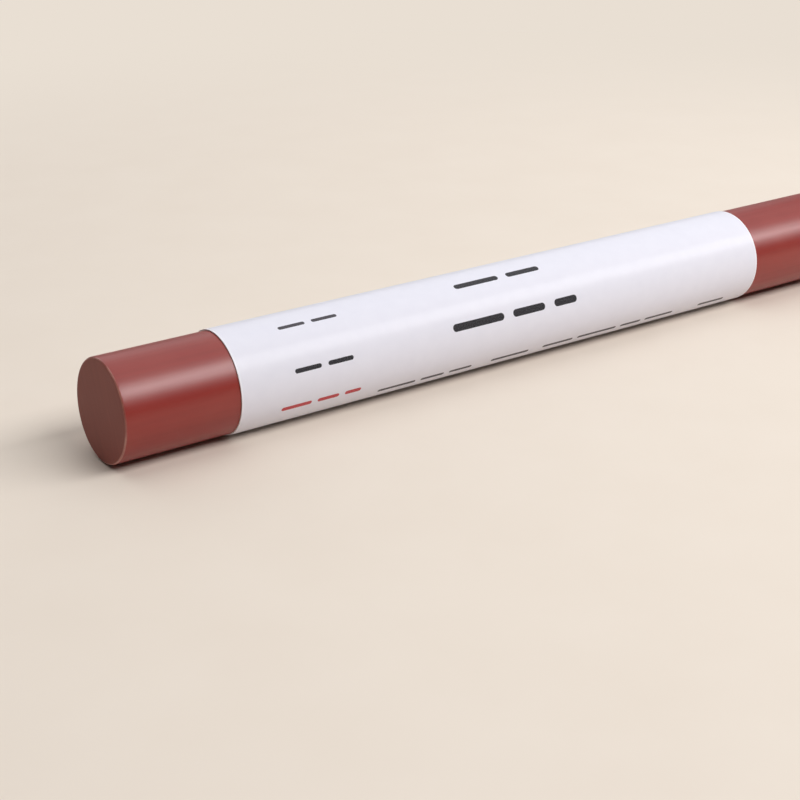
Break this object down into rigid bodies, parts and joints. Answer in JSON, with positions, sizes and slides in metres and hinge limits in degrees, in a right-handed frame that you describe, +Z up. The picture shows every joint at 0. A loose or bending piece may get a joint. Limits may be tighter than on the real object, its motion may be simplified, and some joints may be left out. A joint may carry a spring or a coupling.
{
  "type": "furniture repair wax stick",
  "caption": "Round stick of brick-red filler wax with flat ends and a white self-adhesive label wrapped round its middle, used to fill scratches and dents in wood.",
  "frame": {"origin": "middle of the stick's length, on the surface that it lies on", "axes": "+X along the stick from its near end to its far end, +Z up, -Y to the side that faces the viewer"},
  "size_m": [0.115, 0.0124, 0.0123],
  "materials": {
    "wax": "cast filler wax, satin",
    "adhesive": "clear acrylic adhesive coat",
    "paper": "white coated label paper",
    "film": "clear gloss film"
  },
  "bodies": {
    "root": {"wax_stick": "wax", "label_adhesive": "adhesive", "label_paper": "paper", "label_film": "film"}
  },
  "joints": []
}
